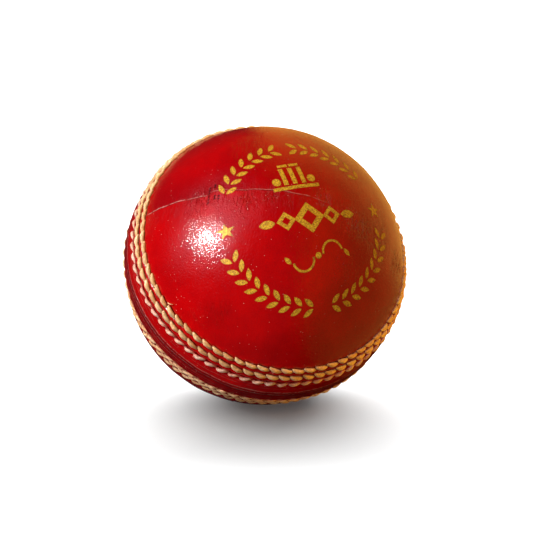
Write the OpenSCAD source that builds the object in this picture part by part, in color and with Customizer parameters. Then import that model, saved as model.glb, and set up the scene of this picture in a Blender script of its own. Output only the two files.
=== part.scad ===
// Four-piece cricket ball with a raised hand-sewn seam.
//
// Every sub-part is drawn in the ball's own frame: the origin is the centre of the ball, the
// XY plane is the joint between the two leather cups, and +Z runs through the pole that
// carries the foil stamp. as_it_lies() then leans the finished piece into its rest pose.

/* [Ball] */
// Diameter of the leather ball, clear of the seam
ball_d = 72; // [71:0.5:73]
// Thickness of the leather cover
leather_t = 4; // [3.8:0.1:4.2]
// Lift of the stamped pole above the horizontal as the ball lies, in degrees
pole_lift = 40; // [0:5:90]
// Turn of the stamped cup's quarter joint about the pole, in degrees
quarter_turn = 160; // [0:10:180]

/* [Core] */
// Diameter of the cork and rubber nucleus
nucleus_d = 36; // [32:1:38]
// Thickness of each cork layer
cork_t = 2.2; // [1.8:0.1:2.6]

/* [Seam] */
// Number of stitches in each of the six rows
stitch_count = 70; // [66:1:76]
// Distance of the inner stitch rows from the joint of the cups
inner_row_offset = 4.9; // [4.8:0.1:5.2]
// Distance between neighbouring stitch rows
row_spacing = 2.6; // [2.5:0.05:2.7]
// Height of the swelling of the leather at the joint of the cups
seam_swell = 0.3; // [0.2:0.05:0.5]
// Height of the crown of each stitch above the leather
stitch_rise = 0.7; // [0.6:0.05:0.75]
// Diameter of the thread of the outer and middle rows
thread_d = 1; // [0.8:0.05:1]
// Diameter of the thread of the inner rows
inner_thread_d = 0.8; // [0.7:0.05:0.9]
// Slant of each stitch across its row, in degrees
stitch_slant = 12; // [6:1:14]
// Width of the lining strip under each half of the seam
lining_w = 12; // [11.5:0.25:12.5]
// Thickness of the lining strip
lining_t = 1; // [0.8:0.1:1]

/* [Stamp] */
// Tilt of the middle of the stamp away from the pole, in degrees
stamp_tilt = 7.7; // [0:0.5:10]
// Radius of the wreath of leaves round the stamp
wreath_r = 21.2; // [20:0.2:22]
// Thickness of the foil
foil_t = 0.04; // [0.03:0.01:0.08]

/* [Hidden] */

$fn = 96;
cut = 0.5;                                  // how far a cutting shape runs past what it cuts

ball_r = ball_d / 2;
core_r = ball_r - leather_t;                // inside of the leather, outside of the core
lining_r = core_r + lining_t;               // outside of the lining strips

// Layers of the core, from the nucleus outwards: three yarn windings around two cork layers
nucleus_r = nucleus_d / 2;
yarn_t = (core_r - nucleus_r - 2 * cork_t) / 3;
inner_yarn_r = nucleus_r + yarn_t;
inner_cork_r = inner_yarn_r + cork_t;
middle_yarn_r = inner_cork_r + yarn_t;
outer_cork_r = middle_yarn_r + cork_t;

// The seam swells as an arc that meets the ball at swell_edge and stands seam_swell above it
// at the joint of the cups. swell_centre is the arc's centre, out from the pole axis.
swell_edge = inner_row_offset + 2 * row_spacing + 1.6;
swell_top_r = ball_r + seam_swell;
swell_edge_r = sqrt(ball_r * ball_r - swell_edge * swell_edge);
swell_centre = (swell_top_r * swell_top_r - ball_r * ball_r) / (2 * (swell_top_r - swell_edge_r));
swell_r = swell_top_r - swell_centre;

// Furrows that the threads lie in
furrow_r = 1.1;
furrow_lift = 0.35;                         // centre of the furrow's arc above the leather
joint_groove_r = 0.4;                       // groove along the joint of the two cups
quarter_groove_r = 0.2;                     // groove along the quarter joint, outside
blind_groove_r = 1;                         // groove along the quarter joint, inside
quarter_groove_end = 72;                    // angle from the pole where the outside groove stops
blind_groove_end = 66;                      // angle from the pole where the inside groove stops

// Threads
stitch_pitch = 360 / stitch_count;
stitch_reach = 0.38 * stitch_pitch * PI / 180 * ball_r; // half a stitch's length
end_depth = 0.12;                           // how far the thread's middle dips in at each end
leg_setback = 0.3;                          // leg's place, back from the end of its stitch
leg_r = 0.3;
needle_hole_r = 0.37;
hole_margin = 2;                            // angle past a quarter's edges where holes still cut it
thread_gap = 0.05;                          // clearance between the leg and what it reaches
tie_r = 0.3;
tie_channel_w = inner_row_offset + 0.6;     // half width of the channel the ties lie in
tie_channel_t = 0.75;
leg_arm = stitch_reach - leg_setback;

// Blind stitches of the quarter joints
blind_step = 4.4;                           // angle between stitches, seen from the centre
blind_r = 0.28;
blind_l = 1.2;
blind_slant = 20;                           // turn of every other stitch to one side
blind_count = floor(2 * (blind_groove_end - 3) / blind_step);

// Stamp
stamp_swing = 14.4;                         // turn of the tilt's direction about the pole
stamp_turn = 3.7;                           // turn of the stamp in its own plane
leaf_l = 3;
leaf_w = 1.2;
leaf_gap = 0.25;                            // each leaf's foot, off the wreath's middle line
leaf_spread = 35;                           // each leaf's turn away from that line
star_offset = 20.3;                         // stars, right and left of the stamp's middle
star_height = 1.6;

// ---------------------------------------------------------------- placing

// Leans the ball's own frame into the rest pose: the stamped pole points forward and up
module as_it_lies() {
    rotate([90 - pole_lift, 0, 0]) children();
}

// Turns a piece of the stamped cup over to make the same piece of the plain cup
module turned_over() {
    rotate([180, 0, 0]) children();
}

// Stands children on the leather at a row: +X points out of the leather, +Y runs along the
// row and +Z towards the pole. along is the angle about the pole axis.
module on_row(offset, along) {
    lean = asin(offset / swell_r);
    rotate([0, 0, along])
        translate([swell_centre, 0, 0])
            rotate([0, -lean, 0])
                translate([swell_r, 0, 0])
                    children();
}

// Distance of a row from the joint of the cups: 0 is the inner row, 2 the outer row
function row_offset(row) = inner_row_offset + row * row_spacing;
function row_thread_r(row) = (row == 0 ? inner_thread_d : thread_d) / 2;

// Radius at which a row's legs end: above the tie channel for the inner row, above the
// lining for the others
function leg_end_r(row) = thread_gap + (row == 0 ? lining_r + tie_channel_t : lining_r);

// ---------------------------------------------------------------- core

module core_shell(inner_r, outer_r) {
    difference() {
        sphere(outer_r);
        sphere(inner_r);
    }
}

module nucleus() {
    color("sienna") sphere(nucleus_r);
}

module inner_yarn_winding() {
    color("wheat") core_shell(nucleus_r, inner_yarn_r);
}

module inner_cork_layer() {
    color("peru") core_shell(inner_yarn_r, inner_cork_r);
}

module middle_yarn_winding() {
    color("wheat") core_shell(inner_cork_r, middle_yarn_r);
}

module outer_cork_layer() {
    color("peru") core_shell(middle_yarn_r, outer_cork_r);
}

module outer_yarn_winding() {
    color("wheat") core_shell(outer_cork_r, core_r);
}

// ---------------------------------------------------------------- leather cups

// Half section of a cup, from the joint at the bottom to the pole at the left
module cup_section() {
    difference() {
        union() {
            intersection() {
                circle(ball_r);
                square(ball_d);
            }
            intersection() {
                translate([swell_centre, 0]) circle(swell_r);
                square([ball_d, swell_edge]);
            }
        }
        circle(core_r);
        seam_rebates();
        seam_furrows();
    }
}

// Steps on the inside of the cup for the lining strip and for the closing thread's ties
module seam_rebates() {
    intersection() {
        circle(lining_r);
        square([ball_d, lining_w]);
    }
    intersection() {
        circle(lining_r + tie_channel_t);
        square([ball_d, tie_channel_w]);
    }
}

// Grooves on the outside of the cup, one under each stitch row and one at the joint
module seam_furrows() {
    for (row = [0:2]) {
        lean = asin(row_offset(row) / swell_r);
        reach = swell_r + furrow_lift;
        translate([swell_centre + reach * cos(lean), reach * sin(lean)]) circle(furrow_r);
    }
    translate([swell_top_r + joint_groove_r / 2, 0]) circle(joint_groove_r);
}

// Groove of round section along a joint that lies in the XZ plane, to end_angle each side of
// the pole
module joint_groove(path_r, groove_r, end_angle) {
    rotate([90, 0, 0])
        rotate([0, 0, 90 - end_angle])
            rotate_extrude(angle = 2 * end_angle)
                translate([path_r, 0]) circle(groove_r);
}

// Needle holes of one row that fall in a quarter running from start to start + 180 degrees
module needle_holes(row, start) {
    depth = ball_r - lining_r;
    for (k = [0:stitch_count - 1]) {
        from_edge = (k * stitch_pitch - start + hole_margin + 360) % 360;
        if (from_edge < 180 + 2 * hole_margin)
            on_row(row_offset(row), k * stitch_pitch)
                rotate([-stitch_slant, 0, 0])
                    translate([-depth - cut, leg_arm, 0])
                        rotate([0, 90, 0])
                            cylinder(h = depth + cut, r = needle_hole_r);
    }
}

// Quarter of the cover: the half of a cup from turn to turn + 180 degrees about the pole
module cover_quarter(turn) {
    difference() {
        rotate([0, 0, turn]) rotate_extrude(angle = 180) cup_section();
        rotate([0, 0, turn]) joint_groove(ball_r, quarter_groove_r, quarter_groove_end);
        rotate([0, 0, turn]) joint_groove(core_r, blind_groove_r, blind_groove_end);
        for (row = [0:2]) needle_holes(row, turn);
    }
}

module stamped_cup_upper_quarter() {
    color("firebrick") cover_quarter(quarter_turn - 180);
}

module stamped_cup_lower_quarter() {
    color("crimson") cover_quarter(quarter_turn);
}

// The plain cup's quarter joint crosses the stamped cup's joint at a right angle
module plain_cup_left_quarter() {
    color("firebrick") turned_over() cover_quarter(270 - quarter_turn);
}

module plain_cup_right_quarter() {
    color("crimson") turned_over() cover_quarter(90 - quarter_turn);
}

// Strip of thin leather glued inside a cup under the seam
module seam_lining() {
    rotate_extrude()
        intersection() {
            difference() {
                circle(lining_r);
                circle(core_r);
            }
            square([ball_d, lining_w]);
        }
}

module stamped_cup_seam_lining() {
    color("tan") seam_lining();
}

module plain_cup_seam_lining() {
    color("tan") turned_over() seam_lining();
}

// ---------------------------------------------------------------- threads

// Short stitches across the inside of a quarter joint, in the groove that joint_groove cuts
module blind_stitches(turn) {
    rotate([0, 0, turn])
        for (k = [0:blind_count]) {
            from_pole = (k - blind_count / 2) * blind_step;
            rotate([0, from_pole, 0])
                translate([0, 0, core_r + blind_r + thread_gap])
                    rotate([90, 0, blind_slant * (k % 2 == 0 ? 1 : -1)])
                        cylinder(h = blind_l, r = blind_r, center = true);
        }
}

module stamped_cup_blind_stitches() {
    color("ivory") blind_stitches(quarter_turn);
}

module plain_cup_blind_stitches() {
    color("ivory") turned_over() blind_stitches(90 - quarter_turn);
}

// One visible stitch: an arc of thread that stands stitch_rise above the leather and dips
// into the furrow at both ends, with one leg down its needle hole
module stitch(thread_r, leg_l) {
    arch = stitch_rise - thread_r + end_depth;
    arc_r = (stitch_reach * stitch_reach + arch * arch) / (2 * arch);
    half_angle = asin(stitch_reach / arc_r);
    rotate([-stitch_slant, 0, 0]) {
        translate([stitch_rise - thread_r - arc_r, 0, 0])
            rotate([0, 0, -half_angle])
                rotate_extrude(angle = 2 * half_angle)
                    translate([arc_r, 0]) circle(thread_r);
        translate([-leg_l, leg_arm, 0])
            rotate([0, 90, 0])
                cylinder(h = leg_l, r = leg_r);
    }
}

module stitch_row(row) {
    leg_l = ball_r - leg_end_r(row);
    for (k = [0:stitch_count - 1])
        on_row(row_offset(row), k * stitch_pitch)
            stitch(row_thread_r(row), leg_l);
}

module stamped_side_inner_stitches() {
    color("oldlace") stitch_row(0);
}

module stamped_side_middle_stitches() {
    color("burlywood") stitch_row(1);
}

module stamped_side_outer_stitches() {
    color("burlywood") stitch_row(2);
}

module plain_side_inner_stitches() {
    color("oldlace") turned_over() stitch_row(0);
}

module plain_side_middle_stitches() {
    color("burlywood") turned_over() stitch_row(1);
}

module plain_side_outer_stitches() {
    color("burlywood") turned_over() stitch_row(2);
}

// Threads that cross the joint of the cups in their channel, from the leg of a stitch on one
// side to the leg of its partner on the other side, and so pull the cups together
module closing_thread_ties() {
    leg_swing = atan(leg_arm * cos(stitch_slant) / swell_top_r);
    leg_height = inner_row_offset - leg_arm * sin(stitch_slant);
    tie_lean = atan(leg_swing * PI / 180 * lining_r / leg_height);
    color("oldlace")
        for (k = [0:stitch_count - 1])
            rotate([0, 0, k * stitch_pitch])
                translate([lining_r + tie_r + thread_gap, 0, 0])
                    rotate([-tie_lean, 0, 0])
                        cylinder(h = 2 * leg_height + leg_r, r = tie_r, center = true);
}

// ---------------------------------------------------------------- foil stamp

// Presses a flat drawing onto the leather as a thin sheet of foil. The drawing's origin goes
// to the middle of the stamp, and its +Y side points up as the ball lies.
module foil() {
    intersection() {
        core_shell(ball_r, ball_r + foil_t);
        rotate([0, 0, stamp_swing])
            rotate([stamp_tilt, 0, 0])
                rotate([0, 0, stamp_turn - stamp_swing])
                    linear_extrude(ball_d) children();
    }
}

// Pointed leaf along +X, from the origin
module leaf(length, width) {
    arc_r = (length * length / width + width) / 4;
    translate([length / 2, 0])
        intersection() {
            translate([0, arc_r - width / 2]) circle(arc_r, $fn = 240);
            translate([0, width / 2 - arc_r]) circle(arc_r, $fn = 240);
        }
}

// Five-pointed star with one point up
module star(outer_r, inner_r) {
    polygon([for (k = [0:9]) (k % 2 == 0 ? outer_r : inner_r) * [-sin(36 * k), cos(36 * k)]]);
}

// Square lozenge, reach wide and high from its middle, with a smaller one cut out of it
module lozenge(reach, hollow) {
    rotate([0, 0, 45])
        difference() {
            square(reach * sqrt(2), center = true);
            square(hollow * sqrt(2), center = true);
        }
}

// Pairs of leaves along the wreath, from one angle on to the other
module leaf_spray(first, last, pairs) {
    onward = sign(last - first);
    for (k = [0:pairs - 1])
        rotate([0, 0, first + (last - first) * k / (pairs - 1)])
            for (side = [-1, 1])
                translate([wreath_r + side * leaf_gap, 0])
                    rotate([0, 0, onward * (90 - side * leaf_spread)])
                        leaf(leaf_l, leaf_w);
}

module foil_wreath() {
    color("goldenrod")
        foil() {
            leaf_spray(147, 98.7, 7);
            leaf_spray(30, 78.3, 7);
            leaf_spray(264, 198, 9);
            leaf_spray(-82, -16, 9);
        }
}

module foil_stars() {
    color("gold")
        foil()
            for (side = [-1, 1]) translate([side * star_offset, star_height]) star(2.2, 0.9);
}

// Wicket of three stumps and two bails on a ground line, with a ball on each side
module wicket() {
    translate([-6.2, 0]) square([12.4, 1]);
    for (k = [-1:1]) translate([2.4 * k - 0.6, 1.4]) square([1.2, 5]);
    for (side = [-1, 1]) {
        translate([1.5 * side - 1.3, 6.8]) square([2.6, 0.8]);
        translate([4.7 * side, 2.6]) circle(1.1);
    }
}

// Row of three lozenges between two leaves
module fleuron() {
    lozenge(4.1, 2);
    for (side = [0, 180])
        rotate([0, 0, side]) {
            translate([6.2, 0]) lozenge(2.5, 1.1);
            translate([9, 0]) leaf(4, 2.2);
        }
}

// Wave of two arcs that springs from a dot and ends in a leaf on each side
module flourish() {
    wave_r = 3;
    circle(0.8);
    for (side = [0, 180])
        rotate([0, 0, side]) {
            translate([1.1 + wave_r, 0])
                intersection() {
                    difference() {
                        circle(wave_r);
                        circle(wave_r - 0.6);
                    }
                    translate([-wave_r, 0]) square([2 * wave_r, wave_r]);
                }
            translate([1.4 + 2 * wave_r, 0]) rotate([0, 0, -60]) leaf(2.4, 1.1);
        }
}

module foil_emblem() {
    color("goldenrod")
        foil() {
            translate([-0.7, 8.6]) wicket();
            translate([0, 0.4]) fleuron();
            translate([0.3, -9.4]) rotate([0, 0, 8]) flourish();
        }
}

// ---------------------------------------------------------------- assembly

as_it_lies() nucleus();
as_it_lies() inner_yarn_winding();
as_it_lies() inner_cork_layer();
as_it_lies() middle_yarn_winding();
as_it_lies() outer_cork_layer();
as_it_lies() outer_yarn_winding();
as_it_lies() stamped_cup_upper_quarter();
as_it_lies() stamped_cup_lower_quarter();
as_it_lies() plain_cup_left_quarter();
as_it_lies() plain_cup_right_quarter();
as_it_lies() stamped_cup_blind_stitches();
as_it_lies() plain_cup_blind_stitches();
as_it_lies() stamped_cup_seam_lining();
as_it_lies() plain_cup_seam_lining();
as_it_lies() closing_thread_ties();
as_it_lies() stamped_side_inner_stitches();
as_it_lies() stamped_side_middle_stitches();
as_it_lies() stamped_side_outer_stitches();
as_it_lies() plain_side_inner_stitches();
as_it_lies() plain_side_middle_stitches();
as_it_lies() plain_side_outer_stitches();
as_it_lies() foil_wreath();
as_it_lies() foil_stars();
as_it_lies() foil_emblem();
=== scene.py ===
"""Looks of a four-piece cricket ball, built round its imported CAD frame.

The CAD nodes give every place. The pole, the joints, the stitch rows and the layer radii are
read from their meshes, and the foil is the CAD foil laid onto the finished leather.

Shapes are worked out in millimetres in the ball's own frame: origin at the centre, Z through
the stamped pole, X along the stamped cup's quarter joint, and Y towards its upper quarter.
new_object() turns them into the frame's metres.
"""

import itertools
import math
from collections import namedtuple

import bmesh
import bpy
import numpy as np
from mathutils import Matrix, Vector

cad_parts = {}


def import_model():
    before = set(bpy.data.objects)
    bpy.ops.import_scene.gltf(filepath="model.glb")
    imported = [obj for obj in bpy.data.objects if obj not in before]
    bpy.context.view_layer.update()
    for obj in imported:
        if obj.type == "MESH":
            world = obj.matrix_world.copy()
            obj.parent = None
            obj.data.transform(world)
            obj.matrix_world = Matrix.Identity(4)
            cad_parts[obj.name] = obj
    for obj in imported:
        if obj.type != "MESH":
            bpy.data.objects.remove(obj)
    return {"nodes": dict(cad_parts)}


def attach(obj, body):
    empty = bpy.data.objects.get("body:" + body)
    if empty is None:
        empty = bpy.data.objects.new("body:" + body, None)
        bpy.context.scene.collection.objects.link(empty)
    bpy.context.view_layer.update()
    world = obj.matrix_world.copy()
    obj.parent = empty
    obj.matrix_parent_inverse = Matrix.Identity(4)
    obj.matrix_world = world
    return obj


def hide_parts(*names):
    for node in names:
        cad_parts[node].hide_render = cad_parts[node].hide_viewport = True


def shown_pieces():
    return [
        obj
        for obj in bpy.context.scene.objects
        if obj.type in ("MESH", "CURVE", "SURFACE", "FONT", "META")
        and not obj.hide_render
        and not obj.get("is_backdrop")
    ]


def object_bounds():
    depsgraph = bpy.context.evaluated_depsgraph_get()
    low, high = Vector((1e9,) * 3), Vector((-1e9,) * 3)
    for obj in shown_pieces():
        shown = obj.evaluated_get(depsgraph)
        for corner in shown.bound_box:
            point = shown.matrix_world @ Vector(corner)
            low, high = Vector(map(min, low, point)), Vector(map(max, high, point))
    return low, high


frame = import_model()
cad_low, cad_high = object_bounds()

MM = 0.001
SEED = 4711
BODY = "root"

# ------------------------------------------------------------------ reading the CAD nodes


def mesh_points(mesh):
    """A mesh's points in the scene's axes, in millimetres."""
    flat = np.empty(len(mesh.vertices) * 3, np.float32)
    mesh.vertices.foreach_get("co", flat)
    return flat.reshape(-1, 3).astype(float) / MM


def cad_points(node):
    return mesh_points(frame["nodes"][node].data)


def cad_triangles(node):
    mesh = frame["nodes"][node].data
    mesh.calc_loop_triangles()
    flat = np.empty(len(mesh.loop_triangles) * 3, np.int32)
    mesh.loop_triangles.foreach_get("vertices", flat)
    return flat.reshape(-1, 3)


def unit(v):
    return v / np.linalg.norm(v, axis=-1, keepdims=True)


def area_centre(node):
    """Centre of a CAD node's surface, which its tessellation doesn't shift."""
    corners = cad_points(node)[cad_triangles(node)]
    area = np.linalg.norm(
        np.cross(corners[:, 1] - corners[:, 0], corners[:, 2] - corners[:, 0]), axis=1
    )
    return (corners.mean(axis=1) * area[:, None]).sum(axis=0) / area.sum()


def read_axes():
    """The ball's own axes as the columns of a matrix, in the scene's axes."""
    pole = unit(area_centre("stamped_cup_seam_lining") - area_centre("plain_cup_seam_lining"))
    upper = area_centre("stamped_cup_upper_quarter") - area_centre("stamped_cup_lower_quarter")
    upper = unit(upper - pole * (upper @ pole))
    return np.column_stack([np.cross(upper, pole), upper, pole])


AXES = read_axes()


def own(points):
    """Points in the scene's axes, taken into the ball's own frame."""
    return points @ AXES


def scene_axes(points):
    """Points in the ball's own frame, taken into the scene's axes."""
    return points @ AXES.T


def solids_of(node):
    """Points of each separate solid of a CAD node, in the ball's own frame."""
    points, triangles = own(cad_points(node)), cad_triangles(node)
    keys, joined = np.unique(np.round(points, 4), axis=0, return_inverse=True)
    joined = joined.reshape(-1)
    triangles = joined[triangles]
    label = np.arange(len(keys))
    while True:
        lowest = label[triangles].min(axis=1)
        before = label.copy()
        for corner in range(3):
            np.minimum.at(label, triangles[:, corner], lowest)
        label = label[label]
        if np.array_equal(label, before):
            break
    return [keys[label == k] for k in np.unique(label)]


def radii_of(node):
    """Smallest and largest distance of a CAD node's points from the ball's centre."""
    distance = np.linalg.norm(cad_points(node), axis=1)
    return distance.min(), distance.max()


BALL_R = (cad_high.z - cad_low.z) / 2 / MM
PLAIN_SHIFT = 0.8  # how far the plain cup's rows are pulled away from the joint of the cups
CROWN = 0.3  # depth of the top of a stitch that gives its place


class Row:
    """A stitch row, read from its CAD node: its stitches' places and their spacing."""

    def __init__(self, side, place):
        self.node = f"{side}_side_{place}_stitches"
        self.side, self.place = side, place
        solids = solids_of(self.node)
        self.count = len(solids)
        self.pitch = 2 * math.pi / self.count
        crowns = []
        for points in solids:
            radius = np.linalg.norm(points, axis=1)
            crowns.append(points[radius > radius.max() - CROWN].mean(axis=0))
        crowns = np.array(crowns)
        turn = np.arctan2(crowns[:, 1], crowns[:, 0])
        self.phase = np.angle(np.exp(1j * turn * self.count).sum()) / self.count
        self.latitude = math.asin(np.mean(unit(crowns)[:, 2]))
        if side == "plain":
            self.latitude -= PLAIN_SHIFT / BALL_R
            if place == "middle":
                self.phase += self.pitch / 2  # half a stitch further round

    def places(self):
        return self.phase + self.pitch * np.arange(self.count)


ROWS = [Row(side, place) for side in ("stamped", "plain") for place in ("inner", "middle", "outer")]
CORE_R = radii_of("outer_yarn_winding")[1]
LINING_R = radii_of("stamped_cup_seam_lining")[1]
LINING_W = np.abs(own(cad_points("stamped_cup_seam_lining"))[:, 2]).max()

# ------------------------------------------------------------------ noise


def lattice(cell, seed):
    """A repeatable number from -1 to 1 for each whole-number point."""
    h = (
        cell[..., 0].astype(np.uint32) * np.uint32(374761393)
        + cell[..., 1].astype(np.uint32) * np.uint32(668265263)
        + cell[..., 2].astype(np.uint32) * np.uint32(2246822519)
        + np.uint32(seed * 3266489917 % 2**32)
    )
    h ^= h >> np.uint32(15)
    h *= np.uint32(2246822519)
    h ^= h >> np.uint32(13)
    h *= np.uint32(3266489917)
    h ^= h >> np.uint32(16)
    return h.astype(float) / (2**31) - 1


def noise(points, size, seed):
    """Smooth noise from -1 to 1 whose features are about size across."""
    scaled = points / size + 1000
    cell = np.floor(scaled).astype(np.int64)
    part = scaled - cell
    part = part * part * part * (part * (part * 6 - 15) + 10)
    total = np.zeros(len(points))
    for corner in itertools.product((0, 1), repeat=3):
        weight = np.prod(np.where(corner, part, 1 - part), axis=1)
        total += weight * lattice(cell + np.array(corner), seed)
    return total


def fractal(points, size, seed, octaves=3):
    total, gain = np.zeros(len(points)), 1.0
    for octave in range(octaves):
        total += gain * noise(points, size / 2**octave, seed + octave)
        gain *= 0.5
    return total / 1.6


def ridges(points, size, seed):
    """Narrow crests, 1 on the crest and 0 away from it."""
    return np.clip(1 - np.abs(fractal(points, size, seed, 2)) * 5, 0, 1)


def bell(x, width):
    return np.exp(-((x / width) ** 2))


def ramp(x, low, high):
    t = np.clip((x - low) / (high - low), 0, 1)
    return t * t * (3 - 2 * t)


# ------------------------------------------------------------------ shape of the leather

SWELL = 0.45  # how far the leather stands up at the joint of the cups
SWELL_EDGE = 11.7  # distance from that joint where it meets the ball again
SINK = 0.45  # how far the plain cup's rows pull its leather in
SINK_PLACE = 9.5  # distance from the joint where they pull it in most
SLANT = math.radians(19)  # turn of a stitch across its row


def swollen_radius(latitude):
    """Radius of the leather with its seam swelling, before any sewing marks it."""
    top = BALL_R + SWELL
    edge = math.sqrt(BALL_R**2 - SWELL_EDGE**2)
    centre = (top**2 - BALL_R**2) / (2 * (top - edge))
    arc = top - centre
    swelling = centre * np.cos(latitude) + np.sqrt(arc**2 - (centre * np.sin(latitude)) ** 2)
    over = swelling - BALL_R
    pulled_in = SINK * bell(latitude * BALL_R + SINK_PLACE, 3.6)
    return BALL_R + 0.5 * (over + np.sqrt(over**2 + 0.02**2)) - pulled_in


def stitch_axes(row, turn, latitude):
    """Distance along and across the nearest stitch of a row, in millimetres."""
    step = (turn - row.phase) / row.pitch
    from_centre = (step - np.round(step)) * row.pitch * BALL_R * math.cos(row.latitude)
    up = (latitude - row.latitude) * BALL_R
    along = from_centre * math.cos(SLANT) - up * math.sin(SLANT)
    across = from_centre * math.sin(SLANT) + up * math.cos(SLANT)
    return along, across, up, step


def sewing(points, turn, latitude):
    """Height that the six stitch rows press into or pull up from the leather, and painted shade."""
    height, dirt_and_shade = np.zeros(len(points)), np.zeros(len(points))
    for index, row in enumerate(ROWS):
        along, across, up, step = stitch_axes(row, turn, latitude)
        wide = 0.62 if row.place == "inner" else 0.80
        unrest = 1 + 0.35 * noise(points, 2.2, SEED + 40 + index)
        furrow = bell(up, wide * 1.25)
        pressed = bell(across, wide) * furrow
        height -= (0.20 * furrow + 0.26 * pressed) * unrest
        pucker = bell(np.abs(up) - 1.28, 0.42) * (
            0.5 + 0.5 * np.cos(2 * math.pi * (step - 0.5 * np.sign(up) * 0.35))
        )
        height += 0.17 * pucker * unrest
        hole = bell(np.hypot(np.abs(along) - 1.45, across), 0.36)
        height -= 0.22 * hole
        # Painted shade in each row's furrow, under its stitches and in its needle holes
        dirt_and_shade += 0.8 * pressed + 0.5 * hole + 0.35 * furrow
    # A darker band on the plain cup's side, about 6 to 12 mm from the joint of the cups
    beside = -latitude * BALL_R
    dirt_and_shade += 0.7 * ramp(beside, 5.4, 6.2) * ramp(beside, 12.0, 11.0)
    return height, dirt_and_shade


# Creases beside the joint of the cups: distance from it, and depth
CREASES = ((2.1, 0.13), (-2.5, 0.16), (-1.3, 0.08), (3.2, 0.07))


def cup_joint(points, latitude):
    """Joint of the two cups with its lips, and the creases that run beside it."""
    run = points * [1, 1, 0]
    from_joint = latitude * BALL_R + 0.10 * fractal(run, 5, SEED + 50)
    strength = 0.75 + 0.35 * fractal(run, 4, SEED + 51)
    height = -0.34 * strength * np.exp(-np.abs(from_joint / 0.17) ** 1.4)
    height += 0.07 * bell(from_joint - 0.42, 0.25) + 0.10 * bell(from_joint + 0.45, 0.28)
    # Painted shade in the joint's groove and just beside it
    dirt_and_shade = 0.9 * bell(from_joint, 0.2) + 0.55 * bell(from_joint + 0.2, 0.9)
    # A darker band on the plain cup's side, out to about 6 mm from the joint
    below = ramp(-from_joint, -0.7, 0.5) * ramp(from_joint, -6.2, -5.0)
    dirt_and_shade += below * (0.78 + 0.35 * fractal(run, 3, SEED + 52))
    # Pale lips beside the joint: worn pale, with painted highlight along them
    lips = 1.3 * strength * (bell(from_joint - 0.55, 0.12) + 0.8 * bell(from_joint + 0.6, 0.12))
    for index, (offset, depth) in enumerate(CREASES):
        seed = SEED + 53 + index
        beside = latitude * BALL_R - offset + 0.35 * fractal(run, 9, seed)
        broken = ramp(fractal(run, 6, seed + 9), -0.35, 0.25)
        # Each crease: painted shade in its groove, and a raised side worn pale with painted
        # highlight
        height -= depth * broken * bell(beside, 0.17)
        height += 0.4 * depth * broken * bell(beside - 0.35, 0.22)
        dirt_and_shade += 0.5 * broken * bell(beside, 0.18)
        lips += depth * 3.6 * broken * bell(beside - 0.3, 0.16)
    band = bell(latitude * BALL_R, 3.6)
    height += 0.05 * band * fractal(points, 1.6, SEED + 57)
    height -= 0.07 * band * ridges(points, 2.6, SEED + 58)
    return height, dirt_and_shade, lips


def joint_place(points, cup):
    """Distance from a cup's quarter joint, and place along it, in millimetres."""
    if cup == "stamped":
        return points[:, 1], np.arctan2(points[:, 0], points[:, 2]) * BALL_R
    return points[:, 0], np.arctan2(points[:, 1], -points[:, 2]) * BALL_R


def joint_wander(place, cup):
    """How far the quarter joint strays sideways from its plane, in millimetres."""
    fade = ramp(SWELL_EDGE + 1 - np.abs(np.abs(place) - BALL_R * math.pi / 2), 0, -6)
    if cup == "stamped":
        jog = 1.35 * ramp(place, -24.9, -22.8) + 0.8 * ramp(place, -15.7, -6)
        return fade * (jog * ramp(-place, -34, 0) + 0.10 * np.sin(place * 0.9))
    return fade * (0.35 * np.sin(place / 7.5) + 0.12 * np.sin(place * 0.8))


# Columns of needle holes that were moved when the joint was sewn: first one's distance from
# the joint, step, count, and place along the joint
PRICKS = (
    (-2.6, 0.85, 6, -23.9), (-2.2, 0.7, 2, -22.3), (-2.4, 0.8, 2, -21.2), (1.2, 0.6, 2, -22.6)
)
# Crumpled patches beside the stamped cup's quarter joint: place along it, distance below it,
# and reach
CRUMPLES = ((-14, 3.2, 3.0), (-7.5, 1.6, 1.8), (6, -0.6, 2.4), (25, 0.6, 4.2))
# Patch that handling has polished smooth: place along the joint and distance from it
POLISHED = (-24.7, -12.0)


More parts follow.
